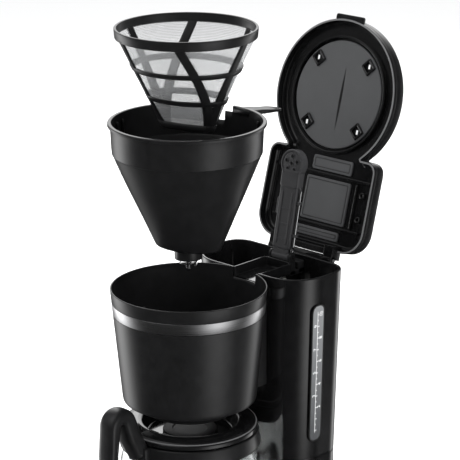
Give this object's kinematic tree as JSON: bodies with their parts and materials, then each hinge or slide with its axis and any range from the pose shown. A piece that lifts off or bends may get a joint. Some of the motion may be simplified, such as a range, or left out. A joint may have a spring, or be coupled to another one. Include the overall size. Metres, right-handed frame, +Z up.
{
  "type": "drip coffee maker",
  "caption": "Drip coffee maker with hinged lid, swinging water arm, lift-out brew basket and permanent filter, side tank with gauge, and glass carafe on a warming plate.",
  "frame": {"origin": "middle of the machine's bounding box, on the desk under the feet", "axes": "+Z up, +X to the gauge side, -Y to the front where the carafe handle points; the tank is at +Y"},
  "size_m": [0.1486, 0.3562, 0.538],
  "materials": {
    "black_satin": "black moulded plastic with a soft satin sheen",
    "black_gloss": "polished black plastic",
    "dark_grey": "dark grey satin plastic or coated plate",
    "satin_grey": "mid grey satin plastic",
    "brushed_silver": "brushed silver-coloured metal",
    "steel": "bright steel",
    "aluminium": "drawn aluminium",
    "soft_black": "black rubber",
    "silicone": "translucent white silicone",
    "filter_mesh": "fine woven light grey filter mesh",
    "smoked_window": "frosted grey clear plastic",
    "clear_glass": "clear borosilicate glass",
    "red_lamp": "red lamp lens"
  },
  "bodies": {
    "machine": {"base_shell": "black_satin", "bottom_plate": "dark_grey", "foot_front_left": "soft_black", "foot_front_right": "soft_black", "foot_rear_left": "soft_black", "foot_rear_right": "soft_black", "bottom_screw_1": "steel", "bottom_screw_2": "steel", "bottom_screw_3": "steel", "bottom_screw_4": "steel", "warming_plate": "dark_grey", "heater_tube": "aluminium", "thermostat": "steel", "thermal_fuse": "brushed_silver", "switch_bezel": "black_gloss", "indicator_lamp": "red_lamp", "cord_gland": "soft_black", "inlet_hose": "silicone", "check_valve": "brushed_silver", "riser_tube": "silicone", "tank_shell": "black_gloss", "gauge_window": "smoked_window", "arm_bracket": "black_satin", "arm_pin": "steel", "hinge_pin": "steel", "filter_housing": "black_satin", "housing_band": "brushed_silver"},
    "lid": {"lid_shell": "black_gloss", "lid_liner": "black_gloss", "lid_disc": "satin_grey", "lid_panel_front": "satin_grey", "lid_panel_middle": "satin_grey", "lid_panel_rear": "satin_grey"},
    "arm": {"water_arm": "dark_grey", "shower_plate": "satin_grey", "arm_side_tube": "steel"},
    "basket": {"filter_basket": "black_satin"},
    "drip_valve": {"drip_valve_plunger": "steel", "drip_valve_seal": "silicone", "drip_valve_spring": "steel"},
    "filter": {"filter_frame": "black_satin", "filter_mesh": "filter_mesh"},
    "carafe": {"carafe_glass": "clear_glass", "carafe_collar": "black_satin", "carafe_handle": "black_satin", "carafe_lid": "black_gloss", "carafe_lid_hub": "dark_grey"},
    "rocker": {"power_switch": "black_satin"}
  },
  "joints": [
    {"name": "lid_hinge", "type": "hinge", "parent": "machine", "child": "lid", "pos_m": [0, 0.0949, 0.286], "axis": [-1, 0, 0], "range_deg": [-25, 0]},
    {"name": "arm_pivot", "type": "hinge", "parent": "machine", "child": "arm", "pos_m": [0.005, 0.0609, 0.292], "axis": [-1, 0, 0], "range_deg": [-24.5, 0]},
    {"name": "basket_lift", "type": "slide", "parent": "machine", "child": "basket", "axis": [0, 0, 1], "range_m": [-0.1566, 0]},
    {"name": "filter_lift", "type": "slide", "parent": "basket", "child": "filter", "axis": [0, 0, 1], "range_m": [-0.104, 0]},
    {"name": "drip_valve_lift", "type": "slide", "parent": "basket", "child": "drip_valve", "axis": [0, 0, 1], "range_m": [0, 0.012], "stiffness_N_per_m": 60, "springref_m": -0.01, "deforming": ["drip_valve_spring"]},
    {"name": "carafe_slide", "type": "slide", "parent": "machine", "child": "carafe", "axis": [0, -1, 0], "range_m": [0, 0.2]},
    {"name": "switch_rocker", "type": "hinge", "parent": "machine", "child": "rocker", "pos_m": [0, -0.1307, 0.018], "axis": [1, 0, 0], "range_deg": [0, 20]}
  ],
  "couplings": [
    {"joint": "arm_pivot", "follows": "lid_hinge", "ratio": 0.96}
  ]
}
